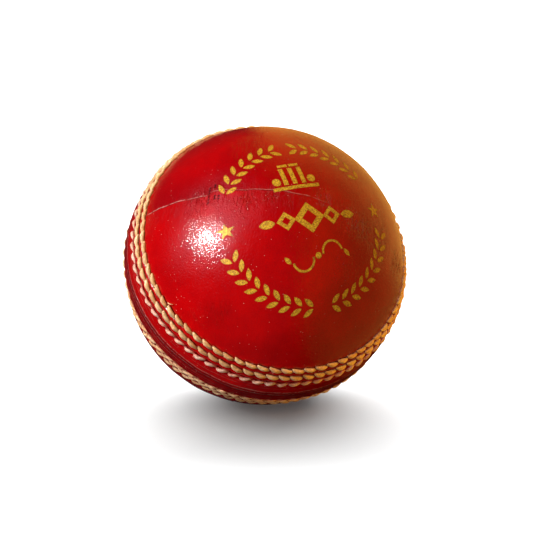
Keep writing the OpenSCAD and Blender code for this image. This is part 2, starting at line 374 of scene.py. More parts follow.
def quarter_joint(points, cup):
    """The quarter joint: a low lip over a fine groove, and the wrinkles that its blind
    stitches pull up. Also gives the distance from the joint and how creased it is there."""
    off, place = joint_place(points * BALL_R, cup)
    off = off - joint_wander(place, cup)
    in_cap = ramp(np.abs(points[:, 2]) * BALL_R, 11.0, 13.0)
    line = np.stack([place, np.zeros_like(place), np.zeros_like(place)], axis=1)
    strength = np.clip(0.8 + 0.5 * fractal(line, 6, SEED + 60), 0.15, 1.2)
    if cup == "stamped":
        strength *= ramp(-place, -9, 4) * (1 - 0.75 * bell(place + 23.5, 1.8))
    else:
        strength *= 0.8
    height = 0.05 * bell(off + 0.3, 0.3) - 0.08 * bell(off - 0.15, 0.2)
    height += 0.045 * np.tanh(-off / 0.3) * bell(off, 2.4)
    height *= strength
    pricks, crumpled = np.zeros_like(off), np.zeros_like(off)
    if cup == "stamped":
        for start, step, count, at in PRICKS:
            nearest = start + step * np.clip(np.round((off - start) / step), 0, count - 1)
            pricks += bell(np.hypot(off - nearest, place - at), 0.32)
        height -= 0.12 * pricks
        for at, below, reach in CRUMPLES:
            crumpled += bell(np.hypot(place - at, 0.8 * (off + below)), reach)
        folds = fractal(np.stack([place + 0.5 * off, off * 0.3, 0 * off], axis=1), 1.5, SEED + 65)
        height += 0.09 * folds * crumpled

    stretched = np.stack([place, off * 0.28, np.zeros_like(off)], axis=1)
    pulled = 0.25 + 0.75 * ramp(fractal(line, 9, SEED + 61), -0.2, 0.5)
    near = bell(off + 1.6, 3.6) * pulled
    wrinkle = ridges(stretched, 2.0, SEED + 62) * near
    height -= 0.06 * wrinkle * in_cap
    height += 0.03 * near * fractal(stretched, 1.1, SEED + 63) * in_cap
    # Painted shade in the needle holes and in the wrinkles' troughs
    dirt_and_shade = 0.5 * pricks + 0.15 * wrinkle
    near = np.maximum(near, crumpled)
    return height * in_cap, dirt_and_shade * in_cap, off, place, strength * in_cap, near * in_cap


class Leather:
    """The finished outside of the cover over a set of directions from the ball's centre."""

    def __init__(self, directions):
        points = unit(directions)
        turn = np.arctan2(points[:, 1], points[:, 0])
        latitude = np.arcsin(np.clip(points[:, 2], -1, 1))
        stamped = points[:, 2] >= 0
        place = points * BALL_R
        sewn, sewn_dirt_and_shade = sewing(place, turn, latitude)
        joined, joint_dirt_and_shade, lips = cup_joint(place, latitude)
        height, dirt_and_shade, self.joint_off, self.joint_place, self.joint_show, creased = (
            np.where(stamped, a, b)
            for a, b in zip(quarter_joint(points, "stamped"), quarter_joint(points, "plain"))
        )
        uneven = 0.09 * noise(place, 13, SEED + 1) + 0.035 * noise(place, 4.5, SEED + 2)
        uneven += 0.010 * noise(place, 1.5, SEED + 3)
        in_cap = ramp(np.abs(place[:, 2]), 11, 15)
        flexed = ramp(fractal(place, 14, SEED + 5), 0.15, 0.6) * in_cap
        self.radius = swollen_radius(latitude) + sewn + joined + height + uneven
        # How dark to paint the leather: grime, and painted shade in furrows, holes, grooves and
        # creases
        self.dirt_and_shade = np.clip(sewn_dirt_and_shade + joint_dirt_and_shade + dirt_and_shade, 0, 1)
        self.lips = np.clip(lips, 0, 1)
        self.creased = np.clip(creased + 0.3 * flexed, 0, 1)
        # Darker on the upper quarter's side of the stamped cup's quarter joint, near it and towards
        # -X
        above = ramp(-self.joint_off, 0.5, -0.1) * bell(self.joint_off, 9)
        self.shade = above * stamped * ramp(-place[:, 0], 4, 20) * in_cap


# ------------------------------------------------------------------ making mesh objects


def in_scene(name, data):
    obj = bpy.data.objects.new(name, data)
    bpy.context.scene.collection.objects.link(obj)
    return obj


def new_object(name, points, faces, material):
    """A smooth mesh object from points in the ball's own frame, in millimetres."""
    mesh = bpy.data.meshes.new(name)
    mesh.from_pydata((scene_axes(points) * MM).tolist(), [], faces)
    mesh.polygons.foreach_set("use_smooth", np.ones(len(mesh.polygons), bool))
    mesh.materials.append(material)
    return in_scene(name, mesh)


def grid_faces(index, wraps=(False, False)):
    """Faces between neighbours in a grid of point numbers. wraps says which of the grid's last
    two axes close on themselves."""
    if wraps[0]:
        index = np.concatenate([index, index[..., :1, :]], axis=-2)
    if wraps[1]:
        index = np.concatenate([index, index[..., :1]], axis=-1)
    corners = [index[..., :-1, :-1], index[..., :-1, 1:], index[..., 1:, 1:], index[..., 1:, :-1]]
    return np.stack(corners, axis=-1).reshape(-1, 4)


def numbered(*shape):
    """Point numbers in a grid of this shape."""
    return np.arange(math.prod(shape)).reshape(shape)


def closed_corners(rows, columns):
    """Map corners for the faces of a grid that closes on itself both ways."""
    u, v = np.meshgrid(np.arange(rows) / rows, np.arange(columns) / columns, indexing="ij")
    corners = [(u + a / rows, v + b / columns) for a, b in ((0, 0), (0, 1), (1, 1), (1, 0))]
    return np.moveaxis(np.array(corners), (0, 1), (-2, -1)).reshape(-1, 4, 2)


def add_values(obj, **values):
    """Point attributes that the materials read."""
    for name, numbers in values.items():
        layer = obj.data.attributes.new(name, "FLOAT", "POINT")
        layer.data.foreach_set("value", np.asarray(numbers, np.float32))


def corner_points(obj):
    """The point number at each corner of each face."""
    corner = np.empty(len(obj.data.loops), np.int32)
    obj.data.loops.foreach_get("vertex_index", corner)
    return corner


def set_uv(obj, uv):
    layer = obj.data.uv_layers.new(name="OFBake")
    layer.data.foreach_set("uv", uv.astype(np.float32).ravel())


def add_uv(obj, uv):
    """A layer of map coordinates, one pair for each point of the mesh."""
    set_uv(obj, np.asarray(uv)[corner_points(obj)])


def outward_faces(obj):
    made = bmesh.new()
    made.from_mesh(obj.data)
    bmesh.ops.recalc_face_normals(made, faces=made.faces)
    made.to_mesh(obj.data)
    made.free()


def stands_for(obj, slot, *nodes):
    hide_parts(*nodes)
    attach(obj, BODY)
    return obj


# ------------------------------------------------------------------ leather quarters


class HalfDisc:
    """Rings of points over half a cup, closer together near the seam."""

    def __init__(self, rings, seam_share, seam_fineness):
        self.rings = rings
        across, up = np.meshgrid(np.arange(-rings, rings + 1), np.arange(rings + 1))
        self.across, self.up = across, up
        ring = np.maximum(np.abs(across), up)
        step = np.where(
            up == ring,
            2 * ring - across,
            np.where(across > 0, up, 4 * ring - up),
        )
        step = np.where((across == ring) & (up < ring), up, step)
        self.turn = math.pi * step / np.maximum(4 * ring, 1)
        spacing = np.where(np.arange(rings) < rings * (1 - seam_share), 1.0, seam_fineness)
        smoothing = np.ones(9) / 9
        spacing = np.convolve(np.pad(spacing, 4, mode="edge"), smoothing, mode="valid")
        edge = np.concatenate([[0], np.cumsum(spacing)])
        self.from_pole = (edge / edge[-1] * math.pi / 2)[ring]

    def directions(self):
        turn, tilt = self.turn.ravel(), self.from_pole.ravel()
        return np.stack(
            [np.cos(turn) * np.sin(tilt), np.sin(turn) * np.sin(tilt), np.cos(tilt)], axis=1
        )

    def index(self, across, up):
        return up * (2 * self.rings + 1) + across + self.rings

    def faces(self):
        return grid_faces(self.index(self.across, self.up))

    def border(self):
        """Points round the half disc: along the straight side, then back along the seam."""
        n = self.rings
        straight = [self.index(a, 0) for a in range(-n, n + 1)]
        right = [self.index(n, u) for u in range(1, n + 1)]
        top = [self.index(a, n) for a in range(n - 1, -n - 1, -1)]
        left = [self.index(-n, u) for u in range(n - 1, 0, -1)]
        return straight + right + top + left


def bend_to_joint(points, cup):
    """Moves points sideways so that the quarter joint wanders as sewn leather does."""
    directions = unit(points)
    off, place = joint_place(directions * BALL_R, cup)
    sideways = joint_wander(place, cup) * bell(off, 9)
    axis = np.array([0, 1, 0]) if cup == "stamped" else np.array([1, 0, 0])
    moved = unit(directions * BALL_R + sideways[:, None] * axis)
    return moved * np.linalg.norm(points, axis=1, keepdims=True)


def inside_radius(height):
    """Inside of the leather: stepped back for the lining and for the closing thread."""
    height = np.abs(height)
    return CORE_R + 0.01 + (LINING_R - CORE_R) * ramp(height, LINING_W + 0.7, LINING_W + 0.2)


RINGS = 204  # rings of points from the pole to the seam
COARSER = 3  # outside rings for each ring inside
SEAM_SHARE, SEAM_FINENESS = 0.38, 0.42  # share of the rings near the seam, and their spacing
NOWHERE = 99  # joint_place where there is no joint to show


def leather_quarter(node, cup, turned, material):
    """One quarter of the cover. turned is its turn about the pole, in degrees."""
    outer = HalfDisc(RINGS, SEAM_SHARE, SEAM_FINENESS)
    inner = HalfDisc(RINGS // COARSER, SEAM_SHARE, SEAM_FINENESS)
    spin = math.radians(turned)
    spin = np.array(
        [[math.cos(spin), -math.sin(spin), 0], [math.sin(spin), math.cos(spin), 0], [0, 0, 1]]
    )
    flip = np.array([1, 1, 1]) if cup == "stamped" else np.array([1, 1, -1])
    out_dirs = bend_to_joint(outer.directions() @ spin.T * flip, cup)
    in_dirs = bend_to_joint(inner.directions() @ spin.T * flip, cup)
    leather = Leather(out_dirs)
    out_points = out_dirs * leather.radius[:, None]
    in_points = in_dirs * inside_radius(in_dirs[:, 2] * CORE_R)[:, None]
    points = np.concatenate([out_points, in_points])

    far = len(out_points)
    faces = outer.faces().tolist() + (inner.faces()[:, ::-1] + far).tolist()
    out_border = outer.border()
    in_border = [i + far for i in inner.border()]
    for k in range(len(in_border)):
        a, b, c, d = (out_border[(COARSER * k + i) % len(out_border)] for i in range(4))
        near, after = in_border[k], in_border[(k + 1) % len(in_border)]
        faces += [[b, a, near], [c, b, near], [near, after, c], [d, c, after]]

    obj = new_object(node + "_leather", points, faces, material)
    outward_faces(obj)
    sharpen(obj, out_border, in_border)
    on_stamped = out_dirs[:, 2] > 0
    values = {  # outside, and inside
        "dirt_and_shade": (leather.dirt_and_shade, 0.6),
        "lips": (leather.lips, 0),
        "joint_off": (leather.joint_off, 9),
        "joint_place": (np.where(on_stamped, leather.joint_place, NOWHERE), NOWHERE),
        "joint_show": (leather.joint_show, 0),
        "creased": (leather.creased, 0),
        "shade": (leather.shade, 0),
        "flesh": (0 * leather.dirt_and_shade, 1),
    }
    for name, (outside, inside) in values.items():
        both = np.concatenate([outside, np.full(len(in_points), inside)])
        add_values(obj, **{name: both})
    add_uv(obj, quarter_uv(outer, inner))
    return stands_for(obj, "red_leather", node)


def quarter_uv(outer, inner):
    """Outside on the lower half of the map, and inside, smaller, above it."""

    def flat(disc, scale, left, bottom):
        u = (disc.across.ravel() / disc.rings + 1) / 2
        v = disc.up.ravel() / disc.rings / 2
        return np.stack([left + scale * u, bottom + scale * v], axis=1)

    return np.concatenate([flat(outer, 0.97, 0.015, 0.01), flat(inner, 0.8, 0.02, 0.55)])


def sharpen(obj, *borders):
    """Hard edges where the outside and the inside meet the joint's walls."""
    edge = np.empty(len(obj.data.edges) * 2, np.int32)
    obj.data.edges.foreach_get("vertices", edge)
    edge = edge.reshape(-1, 2)
    sharp = np.zeros(len(edge), bool)
    for border in borders:
        member = np.zeros(len(obj.data.vertices), bool)
        member[border] = True
        sharp |= member[edge].all(axis=1)
    layer = obj.data.attributes.new("sharp_edge", "BOOLEAN", "EDGE")
    layer.data.foreach_set("value", sharp)


# ------------------------------------------------------------------ threads


def full_turn(count):
    """Even angles round a circle."""
    return np.linspace(0, 2 * math.pi, count, endpoint=False)


def tube(path, sideways, up, wide, high):
    """Rings of points round a path. wide and high place each ring's points off the path."""
    ring = sideways[..., None, :] * wide[..., None] + up[..., None, :] * high[..., None]
    return path[..., None, :] + ring


def thread(path, radius, sides, lobes, twist, lobe_depth):
    """Points of a plied thread along a path. radius holds one number for each path point."""
    steps = len(path)
    tangent = unit(np.gradient(path, axis=0))
    up = unit(path.mean(axis=0))
    sideways = unit(np.cross(tangent, up))
    up = np.cross(sideways, tangent)
    around = full_turn(sides)
    along = np.linspace(0, 1, steps)
    ply = np.abs(np.cos((around[None, :] - twist * along[:, None] * 2 * math.pi) * lobes / 2))
    swell = 1 + lobe_depth * (np.sqrt(ply) - 0.75)
    reach = radius[:, None] * swell
    body = tube(path, sideways, up, np.cos(around) * reach, np.sin(around) * reach)
    return body, np.broadcast_to(ply, (steps, sides))


def tube_faces(steps, sides, first):
    """Faces of a closed tube whose two ends are each closed by one face."""
    index = numbered(steps, sides) + first
    faces = grid_faces(index, (False, True))[:, ::-1].tolist()
    return faces + [index[0].tolist(), index[-1, ::-1].tolist()]


MAIN_PATCH, SIDE_PATCH = (0.10, 0.82), (0.93, 0.05)  # start and height of a thread's map patch


class Bundle:
    """Threads gathered into one mesh, each with its own patch of the map."""

    def __init__(self, count):
        self.grid = math.ceil(math.sqrt(count))
        self.size = 0
        self.points, self.faces, self.tone, self.ply, self.uv = [], [], [], [], []

    def add(self, body, lay, tone, spot, patch=MAIN_PATCH):
        """Adds a thread from thread(), and puts it in patch number spot of the map."""
        steps, sides = lay.shape
        self.faces += tube_faces(steps, sides, self.size)
        self.size += steps * sides
        self.points.append(body.reshape(-1, 3))
        self.tone.append(np.full(steps * sides, tone))
        self.ply.append(lay.ravel())
        u, v = np.meshgrid((np.arange(sides) + 0.5) / sides, np.linspace(0, 1, steps))
        place = np.stack([0.1 + 0.8 * u, patch[0] + patch[1] * v], axis=-1)
        corner = [spot % self.grid, spot // self.grid]
        self.uv.append(((place + corner) / self.grid).reshape(-1, 2))

    def build(self, node, slot, material, depth):
        """The object. depth gives each point's height over the leather."""
        points = np.concatenate(self.points)
        obj = new_object(node + "_thread", points, self.faces, material)
        tone, ply = np.concatenate(self.tone), np.concatenate(self.ply)
        add_values(obj, tone=tone, ply=ply, depth=depth(points))
        add_uv(obj, np.concatenate(self.uv))
        return stands_for(obj, slot, node)


def surface_point(turn, latitude, height):
    """A point over the smooth leather, in the ball's own frame."""
    direction = np.stack(
        [np.cos(latitude) * np.cos(turn), np.cos(latitude) * np.sin(turn), np.sin(latitude)],
        axis=-1,
    )
    return direction * (swollen_radius(latitude) + height)[..., None]


STEPS, SIDES = 28, 16  # points along a stitch and round it
LOOSE_END_STITCH = 43  # stitch that the frayed end of thread lies beside
Style = namedtuple("Style", "slot size half crown head tail slant")
STYLES = {
    # material slot, thread radius, half length, height of the crown over the leather, how far
    # the head and the tail dip below the crown, and slant
    ("stamped", "inner"): Style("white_thread", 0.44, 1.62, 0.12, 0.30, 0.36, -0.3 * SLANT),
    ("stamped", "middle"): Style("cream_thread", 0.58, 2.10, 0.20, 0.16, 0.66, 1.15 * SLANT),
    ("stamped", "outer"): Style("cream_thread", 0.58, 2.10, 0.20, 0.16, 0.66, 1.15 * SLANT),
    ("plain", "inner"): Style("white_thread", 0.38, 1.86, 0.10, 0.20, 0.38, -0.6 * SLANT),
    ("plain", "middle"): Style("cream_thread", 0.38, 1.86, 0.04, 0.20, 0.38, -0.6 * SLANT),
    ("plain", "outer"): Style("cream_thread", 0.38, 1.86, 0.04, 0.20, 0.38, -0.6 * SLANT),
}


def stitch_path(row, turn, rng):
    """Middle line of one stitch: it rises from under the last stitch and dives at its tail."""
    style = STYLES[row.side, row.place]
    along = np.linspace(-1, 1, STEPS)
    half = style.half * (1 + rng.normal(0, 0.035))
    slant = style.slant + rng.normal(0, math.radians(2.4))
    east = half * along * math.cos(slant)
    north = -half * along * math.sin(slant) + rng.normal(0, 0.06)
    north += 0.07 * half * np.sin(math.pi * along)
    head = np.clip(-along, 0, 1) ** 3.2 * style.head * (1 + rng.normal(0, 0.15))
    tail = np.clip(along + 0.15, 0, 1.15) ** 1.7 * style.tail * (1 + rng.normal(0, 0.08))
    height = style.crown - head - tail + rng.normal(0, 0.025)
    latitude = row.latitude + north / BALL_R
    angle = turn + (east + rng.normal(0, 0.05)) / (BALL_R * math.cos(row.latitude))
    return surface_point(angle, latitude, height)


def stitch_shape(along):
    """Thickness along a stitch: a quick pointed head, fullest before the middle, a long tail."""
    place = np.clip((along + 1) / 2, 0.004, 1)
    return 0.16 + 0.84 * np.sin(math.pi * place**0.75) ** 0.85


def link_path(row, turn, rng):
    """Thin strand that crosses the gap from a stitch's tail to the head of the next one."""
    along = np.linspace(0.30, 0.70, 7)
    north = 0.42 * (2 * (along - 0.5)) + rng.normal(0, 0.05)
    height = np.full(7, -0.12 + rng.normal(0, 0.03))
    return surface_point(turn + along * row.pitch, row.latitude + north / BALL_R, height)


def loose_end(row):
    """A frayed end of thread that stands off the leather beside a stitch."""
    along = np.linspace(0, 1, 9)
    turn = row.places()[LOOSE_END_STITCH % row.count] + 0.2 * row.pitch
    north = 1.05 + 1.3 * along
    east = 1.9 * along - 0.5 * along**2
    height = 0.12 + 0.35 * np.sin(math.pi * along * 0.8)
    angle = turn + east / (BALL_R * math.cos(row.latitude))
    return surface_point(angle, row.latitude + north / BALL_R, height)


def over_leather(points):
    return np.linalg.norm(points, axis=1) - swollen_radius(np.arcsin(unit(points)[:, 2]))


def stitch_row(row, material):
    """All the stitches of a row, each a bent length of plied thread."""
    style = STYLES[row.side, row.place]
    rng = np.random.default_rng(SEED + 100 + ROWS.index(row))
    along = np.linspace(-1, 1, STEPS)
    bundle = Bundle(row.count)
    for k, turn in enumerate(row.places()):
        path = stitch_path(row, turn, rng)
        radius = style.size * stitch_shape(along) * (1 + rng.normal(0, 0.04))
        radius = radius * (1 + 0.04 * np.sin(along * 7 + k))
        stitch = thread(path, radius, SIDES, 3, 0.7 + rng.normal(0, 0.06), 0.17)
        lengths = [(*stitch, MAIN_PATCH)]
        if k == 0 and (row.side, row.place) == ("stamped", "outer"):
            frayed = thread(loose_end(row), np.linspace(0.13, 0.06, 9), 8, 2, 0.4, 0.1)
            lengths.append((*frayed, SIDE_PATCH))
        if row.place == "inner":
            link = thread(link_path(row, turn, rng), np.full(7, 0.11), 8, 2, 0.3, 0.1)
            lengths.append((*link, SIDE_PATCH))
        for body, lay, patch in lengths:
            bundle.add(body, lay, rng.uniform(), k, patch)
    return bundle.build(row.node, style.slot, material, over_leather)


# ------------------------------------------------------------------ foil


FOIL_FACE = 0.45  # longest edge of the foil's faces, so that it follows the leather
FOIL_TOP, FOIL_BOTTOM = 0.035, -0.03  # heights of its two sides over the leather


def laid_foil(node, material):
    """The CAD foil, cut into small faces and laid onto the leather."""
    made = bmesh.new()
    made.from_mesh(frame["nodes"][node].data)
    bmesh.ops.remove_doubles(made, verts=made.verts, dist=0.002 * MM)
    for _ in range(4):
        long_edges = [e for e in made.edges if e.calc_length() > FOIL_FACE * MM]
        if not long_edges:
            break
        bmesh.ops.subdivide_edges(made, edges=long_edges, cuts=1)
        bmesh.ops.triangulate(made, faces=[f for f in made.faces if len(f.verts) > 3])
    mesh = bpy.data.meshes.new(node + "_pressed")
    made.to_mesh(mesh)
    made.free()
    points = own(mesh_points(mesh))
    outer_side = np.linalg.norm(points, axis=1) > BALL_R + 0.02
    lift = np.where(outer_side, FOIL_TOP, FOIL_BOTTOM)
    rim = np.zeros(len(points))
    for edge in mesh.edges:
        a, b = edge.vertices
        if lift[a] != lift[b]:
            rim[a] = rim[b] = 1
    moved = unit(points) * (Leather(points).radius + lift)[:, None]
    mesh.vertices.foreach_set("co", (scene_axes(moved) * MM).astype(np.float32).ravel())
    mesh.polygons.foreach_set("use_smooth", np.ones(len(mesh.polygons), bool))
    mesh.materials.clear()
    mesh.materials.append(material)
    mesh.update()
    mesh.set_sharp_from_angle(angle=math.radians(35))
    obj = in_scene(node + "_pressed", mesh)
    add_values(obj, rim=rim)
    return stands_for(obj, "gold_foil", node)


# ------------------------------------------------------------------ pieces inside the cover


def short_threads(node, slot, material, bow):
    """One plied thread along each straight solid of a CAD node, bowed a little outwards."""
    steps, sides = 14, 12
    along = np.linspace(-1, 1, steps)
    rng = np.random.default_rng(SEED + 200 + len(node))
    solids = solids_of(node)
    bundle = Bundle(len(solids))
    for k, solid in enumerate(solids):
        centre = (solid.max(axis=0) + solid.min(axis=0)) / 2
        axis = np.linalg.svd(solid - solid.mean(axis=0), full_matrices=False)[2][0]
        lengthwise = (solid - centre) @ axis
        reach = np.abs(lengthwise).max() * 0.995
        across = np.linalg.norm(solid - centre - lengthwise[:, None] * axis, axis=1)
        radius = across.max() * 0.93
        path = centre + np.outer(along * (reach - 0.03), axis)
        path += np.outer(bow * radius * (1 - along**2), unit(centre))
        ends = np.clip(1 - np.abs(along) ** 9 * 0.5, 0.4, 1)
        body, lay = thread(path, radius * ends / (1 + 0.25 * 0.16), sides, 3, 0.8, 0.16)
        bundle.add(body, lay, rng.uniform(), k)
    return bundle.build(node, slot, material, lambda points: np.full(len(points), 0.3))


def lining(node, material):
    """Strip of split leather under one cup's side of the seam, pricked where the needle goes."""
    around_steps, across_steps = 504, 20
    height = own(cad_points(node))[:, 2]
    inside, outside = radii_of(node)
    inside, outside = inside + 0.02, outside - 0.02
    side = math.copysign(1, height.mean())
    near, far = np.abs(height).min() + 0.01, np.abs(height).max() - 0.01
    rise = np.linspace(near, far, across_steps)
    section = np.concatenate([rise, [far], rise[::-1], [near]])
    share = np.concatenate([np.ones(across_steps), [0.5], np.zeros(across_steps), [0.5]])
    turns, rises = np.meshgrid(full_turn(around_steps), section, indexing="ij")
    shares = np.broadcast_to(share, turns.shape)
    flat = np.stack([np.cos(turns) * outside, np.sin(turns) * outside, side * rises], axis=-1)
    nap = 0.05 * fractal(flat.reshape(-1, 3), 1.2, SEED + 80).reshape(turns.shape)
    nap -= 0.10 * bell(rises - far, 0.8)
    for row in ROWS:
        if math.copysign(1, row.latitude) == side:
            step = (turns - row.phase) / row.pitch
            along = (step - np.round(step) - 0.3) * row.pitch * outside
            nap -= 0.3 * bell(np.hypot(along, rises - abs(row.latitude) * BALL_R * 0.9), 0.35)
    distance = inside + (outside - inside) * shares + np.minimum(nap, 0) * (2 * shares - 1)
    ring = np.sqrt(np.maximum(distance**2 - rises**2, 1))
    points = np.stack([np.cos(turns) * ring, np.sin(turns) * ring, side * rises], axis=-1)
    faces = grid_faces(numbered(*turns.shape), (True, True))[:, [0, 3, 2, 1]]
    obj = new_object(node + "_strip", points.reshape(-1, 3), faces.tolist(), material)
    outward_faces(obj)
    obj.data.set_sharp_from_angle(angle=math.radians(50))
    corners = closed_corners(*turns.shape)[:, [0, 3, 2, 1]]
    add_corner_uv(obj, faces, corners * [1, len(section) / (len(section) + 1)])
    return stands_for(obj, "lining_leather", node)


def cube_sphere(count):
    """Directions, faces and map corners of a sphere cut into even squares."""
    step = np.tan(np.linspace(-1, 1, count + 1) * math.pi / 4)
    across, up = np.meshgrid(step, step)
    out = np.ones_like(across)
    sides = [
        (out, across, up), (-out, -across, up), (-across, out, up),
        (across, -out, up), (across, up, out), (-across, up, -out),
    ]
    points = unit(np.concatenate([np.stack(s, axis=-1).reshape(-1, 3) for s in sides]))
    keys, joined = np.unique(np.round(points, 6), axis=0, return_inverse=True)
    quad = grid_faces(numbered(count + 1, count + 1))
    faces = np.concatenate([quad + k * (count + 1) ** 2 for k in range(6)])
    u, v = np.meshgrid(np.linspace(0.02, 0.98, count + 1), np.linspace(0.02, 0.98, count + 1))
    spot = np.stack([u, v], axis=-1).reshape(-1, 2)[quad]
    corners = np.concatenate([(spot + [k % 3, k // 3]) / [3, 4] for k in range(6)])
    return unit(keys), joined.reshape(-1)[faces], corners


def add_corner_uv(obj, faces, corners):
    """Map coordinates for each corner of each face, whichever way the face now runs."""
    now = corner_points(obj).reshape(faces.shape)
    chosen = (now[:, :, None] == faces[:, None, :]).argmax(axis=2)
    set_uv(obj, np.take_along_axis(corners, chosen[:, :, None], axis=1))


def cork_height(points):
    """Granules stand out of the surface by different amounts, and lie inside the radius."""
    return 0.13 * np.clip(fractal(points, 1.7, SEED + 70), -1, 1) - 0.14


def nucleus_height(points):
    """Moulded granules with the thin ridge that the two halves of the mould leave."""
    granules = 0.07 * np.clip(fractal(points, 1.2, SEED + 71), -1, 1) - 0.16
    return granules + 0.14 * bell(points[:, 2], 0.45)


def wool_height(points):
    return 0.10 * np.clip(fractal(points, 1.4, SEED + 72), -1, 1) - 0.55


def shell_parts(node, count, height):
    """Points, faces and map corners of a layer: its outside, and its inside if it's hollow."""
    low, high = radii_of(node)
    directions, faces, corners = cube_sphere(count)
    points = directions * (high + height(directions * high))[:, None]
    if low > 1 and high - low < low:
        hollow, inner_faces, inner_corners = cube_sphere(count // 2)
        inside = hollow * (low + 0.02 + 0.05 * np.abs(noise(hollow * low, 2, SEED + 73)))[:, None]
        faces = np.concatenate([faces, inner_faces[:, ::-1] + len(points)])
        points = np.concatenate([points, inside])
        corners = np.concatenate([corners, inner_corners[:, ::-1] + [0, 0.5]])
    return points, faces, corners


def shell(node, slot, material, ending, count, height):
    """A layer of the core with its own surface."""
    points, faces, corners = shell_parts(node, count, height)
    obj = new_object(f"{node}_{ending}", points, faces.tolist(), material)
    add_corner_uv(obj, faces, corners)
    return stands_for(obj, slot, node)


def winding(node, material, loops, steps):
    """A layer of yarn: a matted base with strands wound over it on great circles."""
    rng = np.random.default_rng(SEED + 300 + loops)
    points, faces, corners = shell_parts(node, 60, wool_height)
    corners = corners * [1, 0.5]
    top = radii_of(node)[1]
    sides = 6
    spin = np.arange(loops) * math.pi * (3 - math.sqrt(5)) + rng.normal(0, 0.2, loops)
    rise = (np.arange(loops) + 0.5) / loops
    flat = np.sqrt(1 - rise**2)
    axis = np.stack([flat * np.cos(spin), flat * np.sin(spin), rise], axis=-1)
    first = unit(np.cross(axis, rng.normal(size=(loops, 3))))
    second = np.cross(axis, first)
    turn = full_turn(steps)
    wave = 0.35 * np.sin(turn * 3 + rng.uniform(0, 6, (loops, 1)))
    lift = top - 0.34 - 0.10 * rng.uniform(0, 1, (loops, 1))
    lift = lift - 0.07 * np.sin(turn * rng.integers(7, 19, (loops, 1)))
    path = (
        first[:, None, :] * np.cos(turn)[None, :, None]
        + second[:, None, :] * np.sin(turn)[None, :, None]
        + axis[:, None, :] * (wave / top)[..., None]
    )
    path = unit(path) * lift[..., None]
    tangent = unit(np.roll(path, -1, axis=1) - np.roll(path, 1, axis=1))
    up = unit(path)
    sideways = np.cross(tangent, up)
    around = full_turn(sides)
    wide, high = 0.42 * np.cos(around), 0.25 * np.sin(around)
    strands = tube(path, sideways, up, wide, high).reshape(-1, 3)
    quads = grid_faces(numbered(loops, steps, sides), (True, True))
    own_patch = np.stack([np.zeros(loops), np.arange(loops) / loops], axis=-1)
    strand_corners = own_patch[:, None, None] + closed_corners(steps, sides) * [1, 0.8 / loops]
    strand_corners = [0, 0.5] + strand_corners.reshape(-1, 4, 2) * [1, 0.5]
    tone = np.repeat(rng.uniform(0, 1, loops), steps * sides)
    tone = np.concatenate([np.full(len(points), 0.7), tone])
    faces = np.concatenate([faces, quads + len(points)])
    corners = np.concatenate([corners, strand_corners])
    points = np.concatenate([points, strands])
    obj = new_object(f"{node}_yarn", points, faces.tolist(), material)
    add_values(obj, tone=tone)
    add_corner_uv(obj, faces, corners)
    return stands_for(obj, "wool_yarn", node)


# ------------------------------------------------------------------ materials


class Nodes:
    """Short calls for building a material's node tree."""

    def __init__(self, name):
        self.material = bpy.data.materials.new(name)
        self.material.use_nodes = True
        self.tree = self.material.node_tree
        self.shader = self.tree.nodes["Principled BSDF"]
        self.where = self.add("ShaderNodeTexCoord").outputs["Object"]

    def add(self, kind, inputs=(), **settings):
        """A node with these settings. inputs pairs an input with its value or what feeds it."""
        node = self.tree.nodes.new(kind)
        for key, value in settings.items():
            setattr(node, key, value)
        for key, value in inputs:
            self.link(value, node.inputs[key])
        return node

    def link(self, value, socket):
        if isinstance(value, bpy.types.NodeSocket):
            self.tree.links.new(value, socket)
        else:
            socket.default_value = value

    def set(self, name, value):
        self.link(value, self.shader.inputs[name])

    def value(self, attribute):
        return self.add("ShaderNodeAttribute", attribute_name=attribute).outputs["Fac"]

    def noise(self, size, detail=3.0, rough=0.55, stretch=None, twist=0.0, where=None):
        """Noise whose features are about size millimetres across."""
        if stretch is not None:
            inputs = [("Scale", stretch), ("Vector", self.where)]
            where = self.add("ShaderNodeMapping", inputs).outputs["Vector"]
        inputs = [("Scale", 1 / (size * MM)), ("Detail", detail), ("Roughness", rough)]
        inputs += [("Distortion", twist), ("Vector", where or self.where)]
        return self.add("ShaderNodeTexNoise", inputs).outputs["Fac"]

    def cells(self, size, feature="F1", smooth=0.0, output="Distance"):
        """Cells about size millimetres across. smooth rounds their edges off."""
        inputs = [("Scale", 1 / (size * MM)), ("Vector", self.where)]
        if smooth:
            feature = "SMOOTH_F1"
            inputs.append(("Smoothness", smooth))
        return self.add("ShaderNodeTexVoronoi", inputs, feature=feature).outputs[output]

    def math(self, operation, a, b=0.0):
        return self.add("ShaderNodeMath", [(0, a), (1, b)], operation=operation).outputs[0]

    def times(self, a, b):
        return self.math("MULTIPLY", a, b)

    def plus(self, a, b):
        return self.math("ADD", a, b)

    def minus(self, a, b):
        return self.math("SUBTRACT", a, b)

    def fit(self, value, low, high, to_low=0.0, to_high=1.0):
        """value taken from the range low to high into the range to_low to to_high."""
        inputs = [("Value", value), ("From Min", low), ("From Max", high)]
        inputs += [("To Min", to_low), ("To Max", to_high)]
        return self.add("ShaderNodeMapRange", inputs, clamp=True).outputs["Result"]

    def mix(self, factor, a, b):
        """Colour a where factor is 0, and b where it's 1."""
        inputs = [("Factor", factor), (6, a), (7, b)]
        return self.add("ShaderNodeMix", inputs, data_type="RGBA").outputs[2]

    def bump(self, height, strength, distance, normal=None):
        """Surface raised by height times distance in millimetres, on top of normal."""
        inputs = [("Height", height), ("Strength", strength), ("Distance", distance * MM)]
        if normal is not None:
            inputs.append(("Normal", normal))
        return self.add("ShaderNodeBump", inputs).outputs["Normal"]


def rgb(r, g, b):
    return (r, g, b, 1.0)


